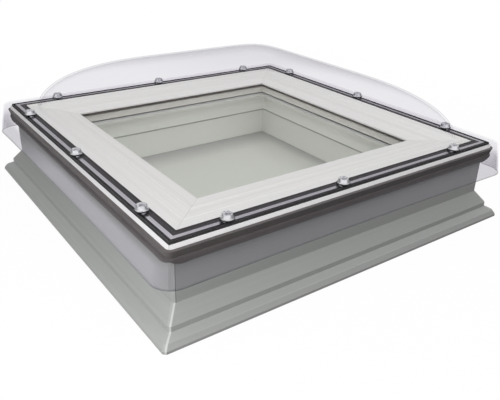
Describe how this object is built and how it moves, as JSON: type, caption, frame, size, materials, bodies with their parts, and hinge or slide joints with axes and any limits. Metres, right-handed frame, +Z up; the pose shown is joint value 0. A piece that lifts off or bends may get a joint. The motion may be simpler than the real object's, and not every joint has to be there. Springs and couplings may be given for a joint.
{
  "type": "roof skylight",
  "caption": "Square flat-roof skylight: grey plastic curb with a foot flange, white glazed sash hinged at the back on black seals, clear pillow dome screwed over it.",
  "frame": {"origin": "middle of the foot flange's underside, on the roof surface", "axes": "+Z up out of the roof, -Y the side that opens, +Y the hinged side, X along the hinge axis"},
  "size_m": [0.86, 0.86, 0.3205],
  "materials": {
    "grey_pvc": "satin extruded plastic, light greenish grey",
    "white_pvc": "satin extruded plastic, off-white",
    "rail_aluminium": "mill-finish extrusion",
    "black_rubber": "matte moulded rubber",
    "glazing": "clear float glass",
    "spacer_bar": "matte",
    "block_plastic": "matte",
    "clear_dome": "clear formed plastic, glossy",
    "screw_steel": "bright",
    "zinc_steel": "zinc plated"
  },
  "bodies": {
    "curb": {"curb_front": "grey_pvc", "curb_right": "grey_pvc", "curb_back": "grey_pvc", "curb_left": "grey_pvc", "frame_seal_inner": "black_rubber", "frame_seal_outer": "black_rubber", "hinge_frame_leaf_left": "zinc_steel", "hinge_frame_leaf_right": "zinc_steel", "hinge_pin_left": "zinc_steel", "hinge_pin_right": "zinc_steel", "hinge_curb_screws": "zinc_steel"},
    "sash": {"sash_front": "white_pvc", "sash_right": "white_pvc", "sash_back": "white_pvc", "sash_left": "white_pvc", "glazing_bead_front": "white_pvc", "glazing_bead_right": "white_pvc", "glazing_bead_back": "white_pvc", "glazing_bead_left": "white_pvc", "glass_outer_pane": "glazing", "glass_inner_pane": "glazing", "glass_spacer": "spacer_bar", "glass_edge_seal": "black_rubber", "glazing_gasket_upper": "black_rubber", "glazing_gasket_lower": "black_rubber", "setting_blocks": "block_plastic", "screw_rail_front": "rail_aluminium", "screw_rail_right": "rail_aluminium", "screw_rail_back": "rail_aluminium", "screw_rail_left": "rail_aluminium", "dome_seal_inner": "black_rubber", "dome_seal_outer": "black_rubber", "side_band": "black_rubber", "dome": "clear_dome", "dome_screws": "screw_steel", "screw_washers": "black_rubber", "screw_bushes": "screw_steel", "hinge_sash_leaf_left": "zinc_steel", "hinge_sash_leaf_right": "zinc_steel", "hinge_sash_screws": "zinc_steel", "opener_bracket": "zinc_steel", "opener_bracket_screws": "zinc_steel"}
  },
  "joints": [
    {"name": "sash_hinge", "type": "hinge", "parent": "curb", "child": "sash", "pos_m": [0, 0.404, 0.117], "axis": [-1, 0, 0], "range_deg": [0, 15]}
  ]
}
